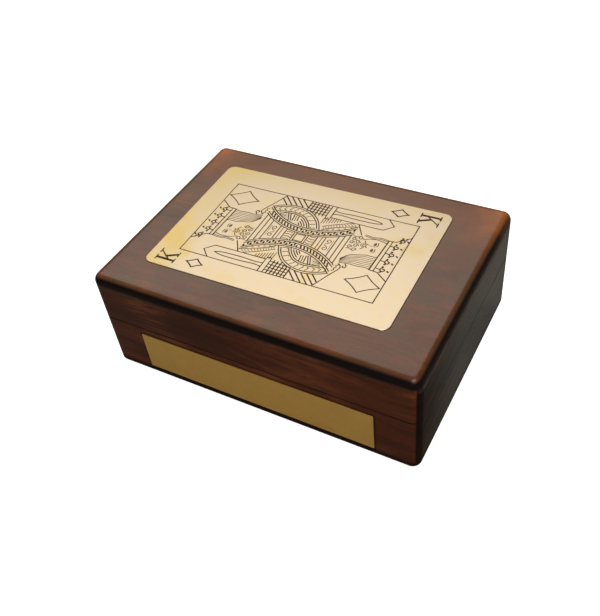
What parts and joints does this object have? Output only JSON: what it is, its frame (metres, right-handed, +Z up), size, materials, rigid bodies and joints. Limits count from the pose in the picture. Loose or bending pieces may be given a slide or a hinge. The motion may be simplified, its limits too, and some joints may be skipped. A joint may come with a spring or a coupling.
{
  "type": "poker chip case",
  "caption": "Hinged hardwood case for poker chips on edge and playing cards, with an engraved brass card plate on the lid and a brass nameplate in front.",
  "frame": {"origin": "on the surface the case stands on, under the middle of the closed case", "axes": "+X to the right along the case's length, +Y from the front with the nameplate to the hinged back, +Z up"},
  "size_m": [0.178, 0.128, 0.0645],
  "materials": {
    "case_wood": "dark rosewood under high-gloss lacquer",
    "inner_wood": "rosewood, thin satin coat",
    "polished_brass": "polished brass with engraved, blackened lines",
    "dull_brass": "satin brass, slightly tarnished",
    "hinge_brass": "satin brass",
    "felt": "short-pile green baize"
  },
  "bodies": {
    "base": {"base_front_wall": "case_wood", "base_back_wall": "case_wood", "base_left_wall": "case_wood", "base_right_wall": "case_wood", "base_bottom_panel": "inner_wood", "base_felt": "felt", "nameplate": "dull_brass", "chip_rack": "inner_wood", "divider": "inner_wood", "card_well_felt": "felt", "left_groove_felt": "felt", "right_groove_felt": "felt", "left_hinge_base_leaf": "hinge_brass", "right_hinge_base_leaf": "hinge_brass", "left_hinge_pin": "hinge_brass", "right_hinge_pin": "hinge_brass", "hinge_base_screws": "hinge_brass"},
    "lid": {"lid_top_board": "case_wood", "lid_front_wall": "case_wood", "lid_back_wall": "case_wood", "lid_left_wall": "case_wood", "lid_right_wall": "case_wood", "card_plate": "polished_brass", "lid_lining": "felt", "left_hinge_lid_leaf": "hinge_brass", "right_hinge_lid_leaf": "hinge_brass", "hinge_lid_screws": "hinge_brass"}
  },
  "joints": [
    {"name": "lid_hinge", "type": "hinge", "parent": "base", "child": "lid", "pos_m": [0, 0.0623, 0.036], "axis": [-1, 0, 0], "range_deg": [0, 95]}
  ]
}
